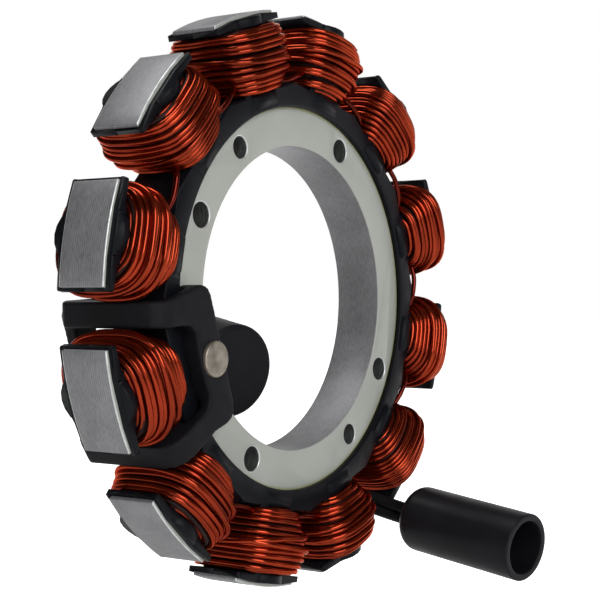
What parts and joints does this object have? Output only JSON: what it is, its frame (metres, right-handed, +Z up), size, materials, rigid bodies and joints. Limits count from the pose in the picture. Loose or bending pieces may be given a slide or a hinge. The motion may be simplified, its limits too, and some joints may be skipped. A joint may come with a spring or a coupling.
{
  "type": "wound stator",
  "caption": "Wound stator ring: laminated core with outward wound poles, moulded insulators, a riveted lead clip, a rubber boot and a tubular lead connector.",
  "frame": {"origin": "centre of the core's bore on the rear mounting face", "axes": "+Y along the bore towards the rear, so the front face looks along -Y; +Z up; +X to the right seen from the front"},
  "size_m": [0.127, 0.0853, 0.127],
  "materials": {
    "core_steel": "satin",
    "insulator_plastic": "satin",
    "copper_winding": "glossy enamel",
    "clip_plastic": "matte",
    "rivet_steel": "worn",
    "boot_rubber": "smooth",
    "shroud_rubber": "matte",
    "lead_rubber": "smooth",
    "contact_brass": "bright"
  },
  "bodies": {
    "root": {"core_stack": "core_steel", "insulator_front": "insulator_plastic", "insulator_rear": "insulator_plastic", "coil_01": "copper_winding", "coil_02": "copper_winding", "coil_03": "copper_winding", "coil_04": "copper_winding", "coil_05": "copper_winding", "coil_06": "copper_winding", "coil_07": "copper_winding", "coil_08": "copper_winding", "coil_09": "copper_winding", "coil_10": "copper_winding", "coil_11": "copper_winding", "coil_12": "copper_winding", "coil_crossings": "copper_winding", "lead_clip": "clip_plastic", "clip_rivet": "rivet_steel", "lead_boot": "boot_rubber", "connector_shroud": "shroud_rubber", "upper_contact": "contact_brass", "lower_contact": "contact_brass", "upper_lead": "lead_rubber", "lower_lead": "lead_rubber"}
  },
  "joints": []
}
